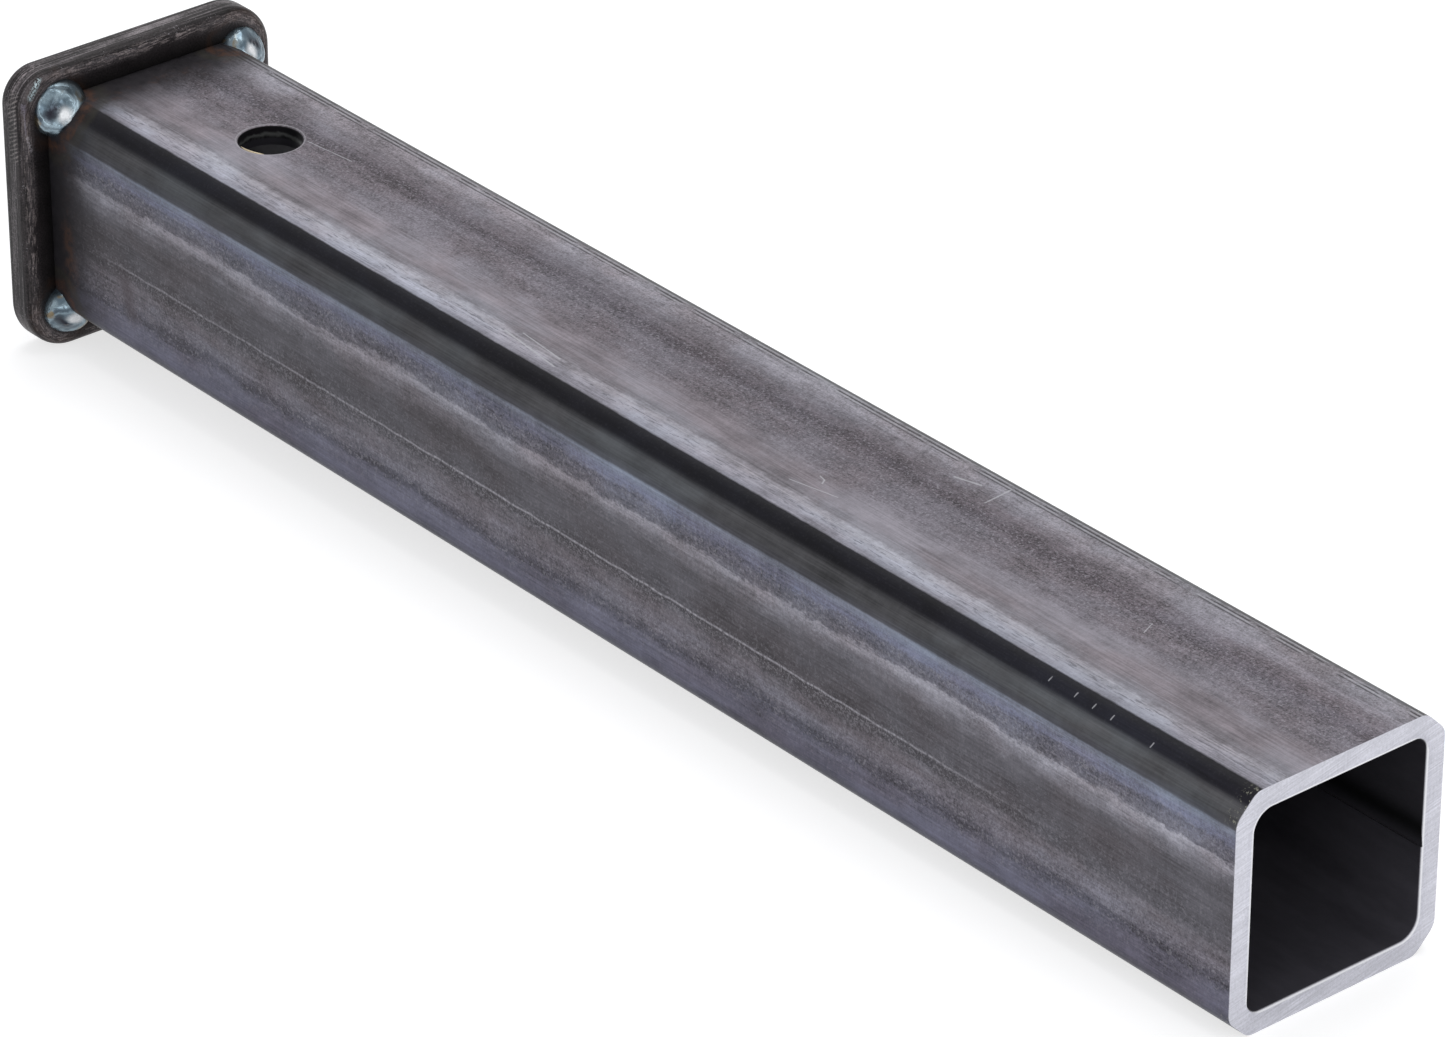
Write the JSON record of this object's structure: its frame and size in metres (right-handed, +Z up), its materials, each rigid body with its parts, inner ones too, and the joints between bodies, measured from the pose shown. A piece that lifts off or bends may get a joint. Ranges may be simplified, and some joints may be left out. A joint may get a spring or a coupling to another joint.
{
  "type": "hitch receiver tube",
  "caption": "Square steel receiver tube with an open socket, a rounded collar welded round its mouth and a cross hole for a hitch pin.",
  "frame": {"origin": "centre of the open mouth, on the axis of the tube, in the plane of the collar's front face", "axes": "+X along the tube from the mouth to the saw-cut rear end; +Z up, along the hitch pin's axis; +Y across, on the side of the tube's inner seam"},
  "size_m": [0.4572, 0.0806, 0.0806],
  "materials": {
    "tube_scale": "raw hot-formed tube under grey-violet mill scale, bare bright steel on the saw-cut end",
    "collar_scale": "dark brown-black forge scale, rubbed lighter on the outer edges",
    "weld_metal": "glossy blue-grey weld metal, as laid"
  },
  "bodies": {
    "root": {"receiver_tube": "tube_scale", "mouth_collar": "collar_scale", "corner_weld_upper_right": "weld_metal", "corner_weld_upper_left": "weld_metal", "corner_weld_lower_right": "weld_metal", "corner_weld_lower_left": "weld_metal"}
  },
  "joints": []
}
